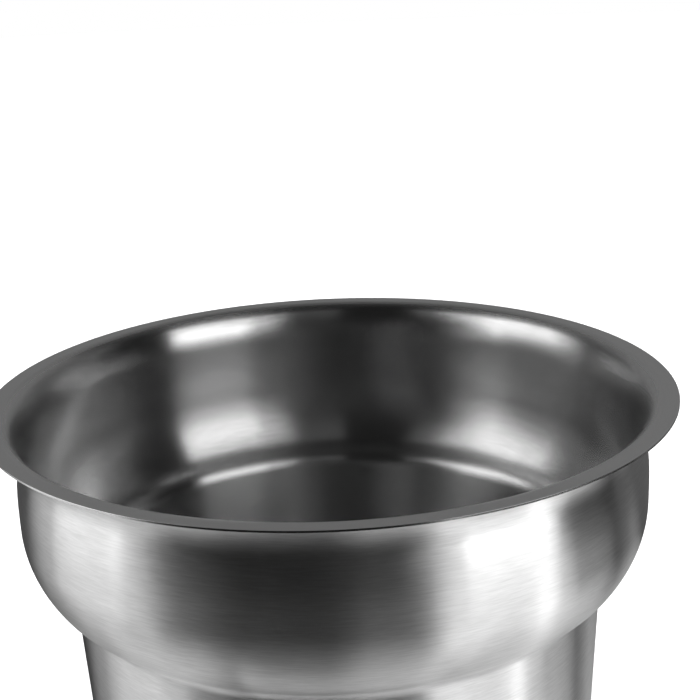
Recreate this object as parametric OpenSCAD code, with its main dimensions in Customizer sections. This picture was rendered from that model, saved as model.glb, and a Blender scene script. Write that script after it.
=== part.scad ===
// Belled inset pot of a drop-in soup kettle, drawn and spun from one sheet of stainless steel.
// The pot stands on its base at z = 0 with its axis on Z; all lengths are in millimetres.

/* [Sheet] */
// Thickness of the steel sheet
sheet = 0.8; // [0.6:0.1:1.2]

/* [Flange] */
// Width by which the flange stands out beyond the bell, to hang on the kettle's opening
flange_overhang = 11; // [8:0.5:16]

/* [Neck] */
// Radius under the roll that turns the flange down into the neck
neck_radius = 6.7; // [4:0.1:8]
// Angle at which the roll opens into the throat, in degrees
neck_break = 28; // [20:1:40]
// Radius under the throat, the narrowest place between flange and bell
throat_radius = 19; // [12:0.5:30]
// Angle by which the wall leans outwards below the throat, in degrees
throat_lean = 10.5; // [6:0.5:12]

/* [Bell] */
// Outside diameter of the bell's widest band, which drops into a 266.7 mm opening
bell_diameter = 264; // [258:0.5:266]
// Outside radius of the swelling wall between the throat and the widest band
swell_radius = 106; // [80:1:200]
// Height of the straight band at the bell's widest
bell_band_height = 8; // [4:0.5:16]
// Outside radius of the upper part of the bell's shoulder
shoulder_radius = 44.5; // [35:0.5:50]
// Angle at which the shoulder changes to its tighter lower part, in degrees
shoulder_break = 35.5; // [25:0.5:40]
// Angle at which the shoulder meets the step's fillet, in degrees
shoulder_end = 64; // [55:1:70]

/* [Pot] */
// Overall height from the base to the flange's cut edge
overall_height = 213; // [190:1:240]
// Distance by which the pot's wall lies inside the bell's wall just below the step
step_inset = 19; // [15:0.5:25]
// Radius of the fillet under the step
step_fillet = 8; // [5:0.5:10]
// Angle by which each side of the pot leans inwards towards the base, in degrees
pot_taper = 2.8; // [1:0.1:5]
// Outside radius of the corner between wall and base
base_radius = 16; // [8:1:25]

/* [Smoothness] */
// Largest turn of one step along a curved section, in degrees
section_step = 6.5; // [3:0.5:10]
// Steps around the axis
turn_steps = 180; // [60:12:360]

/* [Hidden] */

bell_r = bell_diameter / 2;
flange_r = bell_r + flange_overhang;

// Fewest straight steps in one curved stretch of the section
fewest_steps = 2;

// Unit vector that points out of the wall, turned by a below the horizontal
function outward(a) = [cos(a), -sin(a)];

// Points on a circle about c, from outward(from) to outward(to), in even steps
function arc(c, r, from, to) =
    let (steps = max(fewest_steps, ceil(abs(to - from) / section_step)))
    [for (i = [0:steps]) c + r * outward(from + (to - from) * i / steps)];

// The same arc on the far side of its centre, for a wall that curves the other way
function hollow_arc(c, r, from, to) = arc(c, -r, from, to);

flange_edge_top = [flange_r, overall_height];
flange_edge_bottom = [flange_r, overall_height - sheet];

// Neck and swelling wall: three arcs that share their tangents, from the flat flange to the band
neck_z = overall_height - sheet - neck_radius;
throat_z = neck_z - (throat_radius - neck_radius) * sin(neck_break);
swell_centre = [bell_r - swell_radius, throat_z - (throat_radius + swell_radius) * sin(throat_lean)];
throat_centre = swell_centre + (throat_radius + swell_radius) * outward(-throat_lean);
neck_centre = throat_centre - (throat_radius - neck_radius) * outward(neck_break);

// Shoulder: two arcs that share a tangent at shoulder_break, then the fillet under the step.
// The lower arc takes up the width that is left between bell and pot.
upper_inset = shoulder_radius * (1 - cos(shoulder_break));
fillet_inset = step_fillet * (cos(pot_taper) - cos(shoulder_end));
lower_inset = step_inset - upper_inset - fillet_inset;
lower_shoulder_radius = lower_inset / (cos(shoulder_break) - cos(shoulder_end));
upper_centre = [bell_r - shoulder_radius, swell_centre[1] - bell_band_height];
lower_centre = upper_centre + (shoulder_radius - lower_shoulder_radius) * outward(shoulder_break);
fillet_centre = lower_centre + (lower_shoulder_radius + step_fillet) * outward(shoulder_end);

// Base: the corner's centre lies one radius above the floor and one radius inside the wall's line
step_foot = fillet_centre - step_fillet * outward(pot_taper);
wall_offset = step_foot * outward(pot_taper) - base_radius;
corner_centre = [(wall_offset + base_radius * sin(pot_taper)) / cos(pot_taper), base_radius];

// One face of the sheet from flange to axis; depth is 0 on the outer face and sheet on the inner
function sheet_face(depth) = concat(
    hollow_arc(neck_centre, neck_radius + depth, 90, neck_break),
    hollow_arc(throat_centre, throat_radius + depth, neck_break, -throat_lean),
    arc(swell_centre, swell_radius - depth, -throat_lean, 0),
    arc(upper_centre, shoulder_radius - depth, 0, shoulder_break),
    arc(lower_centre, lower_shoulder_radius - depth, shoulder_break, shoulder_end),
    hollow_arc(fillet_centre, step_fillet + depth, shoulder_end, pot_taper),
    arc(corner_centre, base_radius - depth, pot_taper, 90),
    [[0, depth]]
);

// The list in reverse order
function reversed(list) = [for (i = [len(list) - 1:-1:0]) list[i]];

// Flange, bell, step and pot in one unbroken sheet
module inset_pot() {
    section = concat(
        [flange_edge_bottom],
        sheet_face(0),
        reversed(sheet_face(sheet)),
        [flange_edge_top]
    );
    color("silver")
        rotate_extrude($fn = turn_steps)
            polygon(section);
}

inset_pot();
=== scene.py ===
"""Looks of the soup kettle inset pot: one spun sheet of brushed stainless steel, on a pale studio floor."""
import math

import bpy
from mathutils import Matrix, Quaternion, Vector


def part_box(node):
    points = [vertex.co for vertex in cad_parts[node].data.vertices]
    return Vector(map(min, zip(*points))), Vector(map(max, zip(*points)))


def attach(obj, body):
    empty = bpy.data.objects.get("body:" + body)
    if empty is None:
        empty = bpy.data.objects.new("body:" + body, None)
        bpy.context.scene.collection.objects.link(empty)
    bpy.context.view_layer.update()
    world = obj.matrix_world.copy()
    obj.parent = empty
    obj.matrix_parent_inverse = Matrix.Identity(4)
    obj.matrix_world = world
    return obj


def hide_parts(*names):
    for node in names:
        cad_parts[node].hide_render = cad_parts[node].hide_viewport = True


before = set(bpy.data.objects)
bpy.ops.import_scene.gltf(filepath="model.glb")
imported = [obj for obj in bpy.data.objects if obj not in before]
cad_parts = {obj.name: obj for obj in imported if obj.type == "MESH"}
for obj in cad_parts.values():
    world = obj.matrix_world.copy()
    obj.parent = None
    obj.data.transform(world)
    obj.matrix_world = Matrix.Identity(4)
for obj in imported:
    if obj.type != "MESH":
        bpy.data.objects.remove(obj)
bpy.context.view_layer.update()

# ---------------------------------------------------------------- sizes of the pot, in metres
SHEET = 0.0008
FLANGE_OVERHANG = 0.011
EDGE_BREAK = 0.00007
NECK_RADIUS = 0.0067
NECK_BREAK = math.radians(28)
THROAT_RADIUS = 0.019
THROAT_LEAN = math.radians(10.5)
BELL_R = 0.132
SWELL_RADIUS = 0.106
BAND_HEIGHT = 0.008
SHOULDER_RADIUS = 0.0445
SHOULDER_BREAK = math.radians(35.5)
SHOULDER_END = math.radians(64)
STEP_INSET = 0.019
STEP_FILLET = 0.008
POT_TAPER = math.radians(2.8)
BASE_RADIUS = 0.016
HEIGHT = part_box("inset_pot")[1][2]

TURN_STEPS = 256
NECK_STEPS = 16
THROAT_STEPS = 12
SWELL_STEPS = 12
UPPER_SHOULDER_STEPS = 14
LOWER_SHOULDER_STEPS = 16
FILLET_STEPS = 16
WALL_STEPS = 12
CORNER_STEPS = 20
ON_AXIS = 1e-7
SHARP_ANGLE = math.radians(30)


# ---------------------------------------------------------------- section of the sheet
def outward(angle):
    """Unit vector out of the wall in the (radius, height) plane, turned by angle below the horizontal."""
    return Vector((math.cos(angle), -math.sin(angle)))


def arc(centre, radius, start, end, steps):
    """Points on an arc of the section; a negative radius gives a wall that curves the other way."""
    return [centre + radius * outward(start + (end - start) * i / steps) for i in range(steps + 1)]


def straight(start, end, steps):
    """Points inside a straight stretch of the section, without its ends."""
    return [start.lerp(end, i / steps) for i in range(1, steps)]


def section_faces():
    """The outer and inner face of the sheet, each a list of (radius, height) points from flange to axis."""
    neck_z = HEIGHT - SHEET - NECK_RADIUS
    throat_z = neck_z - (THROAT_RADIUS - NECK_RADIUS) * math.sin(NECK_BREAK)
    swell_z = throat_z - (THROAT_RADIUS + SWELL_RADIUS) * math.sin(THROAT_LEAN)
    swell = Vector((BELL_R - SWELL_RADIUS, swell_z))
    throat = swell + (THROAT_RADIUS + SWELL_RADIUS) * outward(-THROAT_LEAN)
    neck = throat - (THROAT_RADIUS - NECK_RADIUS) * outward(NECK_BREAK)
    upper_inset = SHOULDER_RADIUS * (1 - math.cos(SHOULDER_BREAK))
    fillet_inset = STEP_FILLET * (math.cos(POT_TAPER) - math.cos(SHOULDER_END))
    lower_radius = (STEP_INSET - upper_inset - fillet_inset) / (math.cos(SHOULDER_BREAK) - math.cos(SHOULDER_END))
    upper = Vector((BELL_R - SHOULDER_RADIUS, swell[1] - BAND_HEIGHT))
    lower = upper + (SHOULDER_RADIUS - lower_radius) * outward(SHOULDER_BREAK)
    fillet = lower + (lower_radius + STEP_FILLET) * outward(SHOULDER_END)
    foot = fillet - STEP_FILLET * outward(POT_TAPER)
    offset = foot.dot(outward(POT_TAPER)) - BASE_RADIUS
    corner = Vector(((offset + BASE_RADIUS * math.sin(POT_TAPER)) / math.cos(POT_TAPER), BASE_RADIUS))

    def face(depth):
        neck_arc = arc(neck, -(NECK_RADIUS + depth), math.pi / 2, NECK_BREAK, NECK_STEPS)
        throat_arc = arc(throat, -(THROAT_RADIUS + depth), NECK_BREAK, -THROAT_LEAN, THROAT_STEPS)[1:]
        swell_arc = arc(swell, SWELL_RADIUS - depth, -THROAT_LEAN, 0, SWELL_STEPS)[1:]
        upper_arc = arc(upper, SHOULDER_RADIUS - depth, 0, SHOULDER_BREAK, UPPER_SHOULDER_STEPS)
        lower_arc = arc(lower, lower_radius - depth, SHOULDER_BREAK, SHOULDER_END, LOWER_SHOULDER_STEPS)[1:]
        fillet_arc = arc(fillet, -(STEP_FILLET + depth), SHOULDER_END, POT_TAPER, FILLET_STEPS)[1:]
        corner_arc = arc(corner, BASE_RADIUS - depth, POT_TAPER, math.pi / 2, CORNER_STEPS)
        return (
            neck_arc
            + throat_arc
            + swell_arc
            + upper_arc
            + lower_arc
            + fillet_arc
            + straight(fillet_arc[-1], corner_arc[0], WALL_STEPS)
            + corner_arc
            + straight(corner_arc[-1], Vector((0, depth)), WALL_STEPS)
            + [Vector((0, depth))]
        )

    return face(0), face(SHEET)


def cut_edge():
    """The flange's cut edge from its lower to its upper face, with both corners broken."""
    radius = BELL_R + FLANGE_OVERHANG
    bottom = HEIGHT - SHEET
    return [
        Vector((radius - EDGE_BREAK, bottom)),
        Vector((radius, bottom + EDGE_BREAK)),
        Vector((radius, HEIGHT - EDGE_BREAK)),
        Vector((radius - EDGE_BREAK, HEIGHT)),
    ]


# ---------------------------------------------------------------- pot
def lathe(name, stretches):
    """Closed mesh that turns a closed section about Z. Each stretch is (material index, points); a stretch's
    faces reach to the next stretch's first point. The attribute run is the length along the section."""
    points = [(index, point) for index, stretch in stretches for point in stretch]
    verts, rings, runs, run = [], [], [], 0.0
    for j, (_, point) in enumerate(points):
        if j:
            run += (point - points[j - 1][1]).length
        if point[0] < ON_AXIS:
            verts.append((0, 0, point[1]))
            rings.append([len(verts) - 1] * TURN_STEPS)
            runs.append(run)
            continue
        rings.append(list(range(len(verts), len(verts) + TURN_STEPS)))
        for i in range(TURN_STEPS):
            turn = 2 * math.pi * i / TURN_STEPS
            verts.append((point[0] * math.cos(turn), point[0] * math.sin(turn), point[1]))
            runs.append(run)
    faces, materials = [], []
    for j, ring in enumerate(rings):
        after = rings[(j + 1) % len(rings)]
        for i in range(TURN_STEPS):
            k = (i + 1) % TURN_STEPS
            face = list(dict.fromkeys([ring[i], after[i], after[k], ring[k]]))
            if len(face) > 2:
                faces.append(face)
                materials.append(points[j][0])
    mesh = bpy.data.meshes.new(name)
    mesh.from_pydata(verts, [], faces)
    mesh.polygons.foreach_set("material_index", materials)
    mesh.polygons.foreach_set("use_smooth", [True] * len(faces))
    mesh.attributes.new("run", "FLOAT", "POINT").data.foreach_set("value", runs)
    mesh.set_sharp_from_angle(angle=SHARP_ANGLE)
    return mesh


OUTSIDE, INSIDE, FLANGE, EDGE = range(4)
NECK_FLANGE_POINTS = 8


def build_pot():
    """The whole pot as one sheet: cut edge, outside, inside and flange, in section order."""
    outer, inner = section_faces()
    inner.reverse()
    stretches = [
        (OUTSIDE, outer),
        (INSIDE, inner[:-NECK_FLANGE_POINTS]),
        (FLANGE, inner[-NECK_FLANGE_POINTS:]),
        (EDGE, cut_edge()[::-1]),
    ]
    mesh = lathe("inset_pot_steel", stretches)
    pot = bpy.data.objects.new("inset_pot_steel", mesh)
    bpy.context.collection.objects.link(pot)
    return pot


pot = build_pot()
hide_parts("inset_pot")
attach(pot, "root")


# ---------------------------------------------------------------- steel
# Each layer of grain: streaks to a radian along it, lines to a metre across it, finer octaves, and its place in
# the noise.
HAIRLINES = {"streaks": 15, "lines": 1700, "detail": 2, "offset": 0}
STRANDS = {"streaks": 6, "lines": 600, "detail": 3, "offset": 31}
BANDS = {"streaks": 2.2, "lines": 70, "detail": 1, "offset": 57}
SCRATCHES = {"streaks": 2, "lines": 900, "detail": 0, "offset": 83}
OCTAVE_STRENGTH = 0.6
STRAND_SHARE = 0.5
SCRATCH_START, SCRATCH_FULL = 0.76, 0.82
ROUGHNESS_SWING = 0.015
SHEEN_TURN = 0.25


def node(tree, kind, inputs=(), **settings):
    """The first output of a new node. Inputs are (socket, constant or another node's output)."""
    made = tree.nodes.new("ShaderNode" + kind)
    for name, value in settings.items():
        setattr(made, name, value)
    for socket, value in inputs:
        if isinstance(value, bpy.types.NodeSocket):
            tree.links.new(value, made.inputs[socket])
        else:
            made.inputs[socket].default_value = value
    return made.outputs[0]


def add(tree, a, b):
    return node(tree, "Math", [(0, a), (1, b)], operation="ADD")


def multiply_add(tree, a, factor, b):
    return node(tree, "Math", [(0, a), (1, factor), (2, b)], operation="MULTIPLY_ADD")


def grain(tree, streaks, lines, detail, offset):
    """Noise drawn out around the axis."""
    place = node(tree, "TexCoord").node.outputs["Object"]
    flat = node(tree, "VectorMath", [(0, place), (1, (1, 1, 0))], operation="MULTIPLY")
    around = node(tree, "VectorMath", [(0, flat)], operation="NORMALIZE")
    drawn = node(tree, "VectorMath", [(0, around), ("Scale", streaks)], operation="SCALE")
    run = tree.nodes.new("ShaderNodeAttribute")
    run.attribute_name = "run"
    up = node(tree, "CombineXYZ", [("Z", multiply_add(tree, run.outputs["Fac"], lines, offset))])
    point = node(tree, "VectorMath", [(0, drawn), (1, up)], operation="ADD")
    settings = [("Vector", point), ("Scale", 1), ("Detail", detail), ("Roughness", OCTAVE_STRENGTH)]
    return node(tree, "TexNoise", settings)


def swing(tree, noise, amount):
    """Noise about 0.5 turned into a swing of the given amount about 0."""
    return multiply_add(tree, noise, 2 * amount, -amount)


def steel(name, roughness, anisotropy, brightness, fine, broad, wear, relief):
    """Steel brushed around the axis. Fine and broad are swings of brightness in the grain and in the smudges, wear
    is how much a scratch darkens it, and relief is the depth of the grain in metres."""
    made = bpy.data.materials.new(name)
    made.use_nodes = True
    tree = made.node_tree
    shader = tree.nodes["Principled BSDF"]
    shader.inputs["Metallic"].default_value = 1
    shader.inputs["Anisotropic"].default_value = anisotropy
    shader.inputs["Anisotropic Rotation"].default_value = SHEEN_TURN
    tree.links.new(node(tree, "Tangent", direction_type="RADIAL", axis="Z"), shader.inputs["Tangent"])

    hairlines = grain(tree, **HAIRLINES)
    strands = grain(tree, **STRANDS)
    bands = grain(tree, **BANDS)
    limits = [("From Min", SCRATCH_START), ("From Max", SCRATCH_FULL)]
    scratches = node(tree, "MapRange", [("Value", grain(tree, **SCRATCHES))] + limits)

    tone = add(tree, swing(tree, hairlines, fine), swing(tree, strands, fine * STRAND_SHARE))
    tone = add(tree, tone, swing(tree, bands, broad))
    tone = multiply_add(tree, scratches, -wear, tone)
    tone = multiply_add(tree, tone, brightness, brightness)
    tree.links.new(node(tree, "CombineColor", [(0, tone), (1, tone), (2, tone)]), shader.inputs["Base Color"])
    tree.links.new(add(tree, swing(tree, bands, ROUGHNESS_SWING), roughness), shader.inputs["Roughness"])
    if relief:
        height = multiply_add(tree, strands, STRAND_SHARE, hairlines)
        bump = node(tree, "Bump", [("Height", height), ("Strength", 1), ("Distance", relief)])
        tree.links.new(bump, shader.inputs["Normal"])
    return made


# In the order of OUTSIDE, INSIDE, FLANGE and EDGE.
STEELS = {
    "steel_outside": {
        "roughness": 0.3,
        "anisotropy": 1.0,
        "brightness": 0.62,
        "fine": 0.2,
        "broad": 0.04,
        "wear": 0.05,
        "relief": 0.00002,
    },
    "steel_inside": {
        "roughness": 0.258,
        "anisotropy": 1.0,
        "brightness": 0.64,
        "fine": 0.14,
        "broad": 0.06,
        "wear": 0.0,
        "relief": 0.0,
    },
    "steel_flange": {
        "roughness": 0.38,
        "anisotropy": 0.3,
        "brightness": 0.69,
        "fine": 0.02,
        "broad": 0.02,
        "wear": 0.02,
        "relief": 0.000003,
    },
    "steel_cut_edge": {
        "roughness": 0.2,
        "anisotropy": 0.0,
        "brightness": 0.5,
        "fine": 0.1,
        "broad": 0.1,
        "wear": 0.04,
        "relief": 0.00001,
    },
}
for name, look in STEELS.items():
    pot.data.materials.append(steel(name, **look))

# ---------------------------------------------------------------- camera
RIM_TO_CAMERA = 0.5643
ELEVATION = math.radians(18.68)
AIM = Vector((0.0089, 0, 0.2286))
ROLL = math.radians(-2.26)
LENS = 68.97
SENSOR = 36
camera_data = bpy.data.cameras.new("camera")
camera_data.lens = LENS
camera_data.sensor_width = SENSOR
camera = bpy.data.objects.new("camera", camera_data)
bpy.context.collection.objects.link(camera)
position = Vector((0, -RIM_TO_CAMERA * math.cos(ELEVATION), HEIGHT + RIM_TO_CAMERA * math.sin(ELEVATION)))
look = (AIM - position).to_track_quat("-Z", "Y").to_matrix().to_4x4()
camera.matrix_world = Matrix.Translation(position) @ look @ Matrix.Rotation(ROLL, 4, "Z")
bpy.context.scene.camera = camera

# ---------------------------------------------------------------- studio
STUDIO_CENTRE = Vector((0, 0, 0.17))
STUDIO_RADIUS = 1.6
KEY_DISTANCE = 0.6
FLOOR_RADIUS = 6.0
FLOOR_TONE = 0.86
AMBIENT = 0.012
EDGE_STRIPS = 5

bpy.context.scene.view_settings.view_transform = "Standard"


def studio_world():
    """A white surround for the camera and a nearly dark one for all reflections."""
    world = bpy.data.worlds.new("studio")
    bpy.context.scene.world = world
    world.use_nodes = True
    tree = world.node_tree
    dark = tree.nodes["Background"]
    dark.inputs["Color"].default_value = (AMBIENT, AMBIENT, AMBIENT, 1)
    white = tree.nodes.new("ShaderNodeBackground")
    white.inputs["Color"].default_value = (1, 1, 1, 1)
    path = tree.nodes.new("ShaderNodeLightPath")
    mix = tree.nodes.new("ShaderNodeMixShader")
    tree.links.new(path.outputs["Is Camera Ray"], mix.inputs[0])
    tree.links.new(dark.outputs[0], mix.inputs[1])
    tree.links.new(white.outputs[0], mix.inputs[2])
    tree.links.new(mix.outputs[0], tree.nodes["World Output"].inputs["Surface"])


def studio_floor():
    """A round matt floor, pale and out of sight of the steel, which mirrors the softboxes alone."""
    mesh = bpy.data.meshes.new("studio_floor")
    rim = [2 * math.pi * i / TURN_STEPS for i in range(TURN_STEPS)]
    mesh.from_pydata(
        [(FLOOR_RADIUS * math.cos(a), FLOOR_RADIUS * math.sin(a), 0) for a in rim], [], [list(range(TURN_STEPS))]
    )
    floor = bpy.data.objects.new("studio_floor", mesh)
    bpy.context.collection.objects.link(floor)
    paint = bpy.data.materials.new("studio_floor_paint")
    paint.use_nodes = True
    shader = paint.node_tree.nodes["Principled BSDF"]
    shader.inputs["Base Color"].default_value = (FLOOR_TONE, FLOOR_TONE, FLOOR_TONE, 1)
    shader.inputs["Roughness"].default_value = 1
    shader.inputs["Specular IOR Level"].default_value = 0
    mesh.materials.append(paint)
    floor.visible_glossy = False
    floor.visible_shadow = False


def floor_wash(strength, spread):
    """A soft sun straight overhead, out of sight of the steel. The spread is in degrees."""
    data = bpy.data.lights.new("floor_wash", "SUN")
    data.energy = strength
    data.angle = math.radians(spread)
    light = bpy.data.objects.new("floor_wash", data)
    bpy.context.collection.objects.link(light)
    light.visible_glossy = False


def softbox(name, azimuth, elevation, width, height, radiance, lean=0, distance=STUDIO_RADIUS):
    """A rectangular light that faces the pot. All but the radiance are degrees as seen from the pot; azimuth 0 is
    the camera's side and grows towards +X, and lean tips the light's top that way. The distance is in metres."""
    data = bpy.data.lights.new(name, "AREA")
    data.shape = "RECTANGLE"
    data.size = 2 * distance * math.tan(math.radians(width / 2))
    data.size_y = 2 * distance * math.tan(math.radians(height / 2))
    data.energy = radiance * math.pi * data.size * data.size_y
    light = bpy.data.objects.new(name, data)
    bpy.context.collection.objects.link(light)
    a, e = math.radians(azimuth), math.radians(elevation)
    offset = Vector((math.sin(a) * math.cos(e), -math.cos(a) * math.cos(e), math.sin(e))) * distance
    light.location = STUDIO_CENTRE + offset
    facing = (-offset).to_track_quat("-Z", "Y") @ Quaternion((0, 0, 1), math.radians(-lean))
    light.rotation_euler = facing.to_euler()
    light.visible_camera = False


def graded_edge(name, start, end, elevation, height, radiance, lean=0, distance=STUDIO_RADIUS):
    """A softbox's soft edge: narrow strips from one azimuth to another, each dimmer than the one before."""
    width = abs(end - start) / EDGE_STRIPS
    for i in range(EDGE_STRIPS):
        azimuth = start + (end - start) * (i + 0.5) / EDGE_STRIPS
        strength = radiance * (1 - (i + 0.5) / EDGE_STRIPS)
        softbox(f"{name}_{i}", azimuth, elevation, width, height, strength, lean, distance)


studio_world()
studio_floor()
floor_wash(strength=4.6, spread=40)
# softbox: azimuth, elevation, width, height, radiance. graded_edge: start, end, elevation, height, radiance.
softbox("key", 54, 13, 34, 42, 2.3, distance=KEY_DISTANCE)
softbox("key_low", 52, 8, 30, 26, 1.2, distance=KEY_DISTANCE)
softbox("key_top", 50, 43, 44, 16, 1.35, distance=KEY_DISTANCE)
softbox("key_skirt", 74, -26, 14, 12, 1.15, lean=-40, distance=KEY_DISTANCE)
graded_edge("key_edge", 37, 20, 14, 34, 1.7, distance=KEY_DISTANCE)
softbox("key_skirt_edge", 34, -17, 8, 16, 0.5)
softbox("bounce_right", 60, -36, 36, 18, 1.7)
graded_edge("bounce_right_edge", 42, 28, -36, 18, 1.2)
softbox("bounce_right_rear", 95, -36, 34, 18, 1.15)
softbox("bounce_right_low", 34, -57, 34, 22, 0.6)
softbox("bounce_right_rear_low", 90, -57, 60, 22, 0.45)
softbox("bounce_front", 0, -52, 44, 14, 0.28)
softbox("bounce_below", 0, -83, 40, 14, 1.85)
softbox("fill", -88, 19, 30, 46, 1.7)
graded_edge("fill_edge", -73, -60, 19, 44, 1.9, lean=12)
graded_edge("fill_far_edge", -103, -121, 17, 44, 1.5)
softbox("fill_top", -78, 42, 36, 16, 0.9)
softbox("fill_corner", -54, 46, 16, 16, 0.3)
softbox("fill_skirt", -90, -11, 34, 16, 1.3)
graded_edge("fill_skirt_edge", -73, -58, -11, 16, 0.8)
softbox("fill_rear", -117, -14, 16, 30, 0.5)
softbox("bounce_left", -90, -28, 36, 22, 0.8)
graded_edge("bounce_left_edge", -72, -54, -28, 22, 1.0)
softbox("bounce_left_low", -84, -57, 40, 22, 1.05)
softbox("rear_right", 130, 10, 50, 70, 0.12)
softbox("rear", 180, 10, 50, 70, 0.2)
softbox("rear_left", -130, 10, 50, 70, 0.08)
softbox("rear_bounce", 155, -36, 50, 18, 0.7)
softbox("rear_low", 180, -68, 90, 18, 0.35)
softbox("rear_top", 180, 64, 60, 34, 0.06)
softbox("top_front", 8, 45, 20, 20, 0.16)
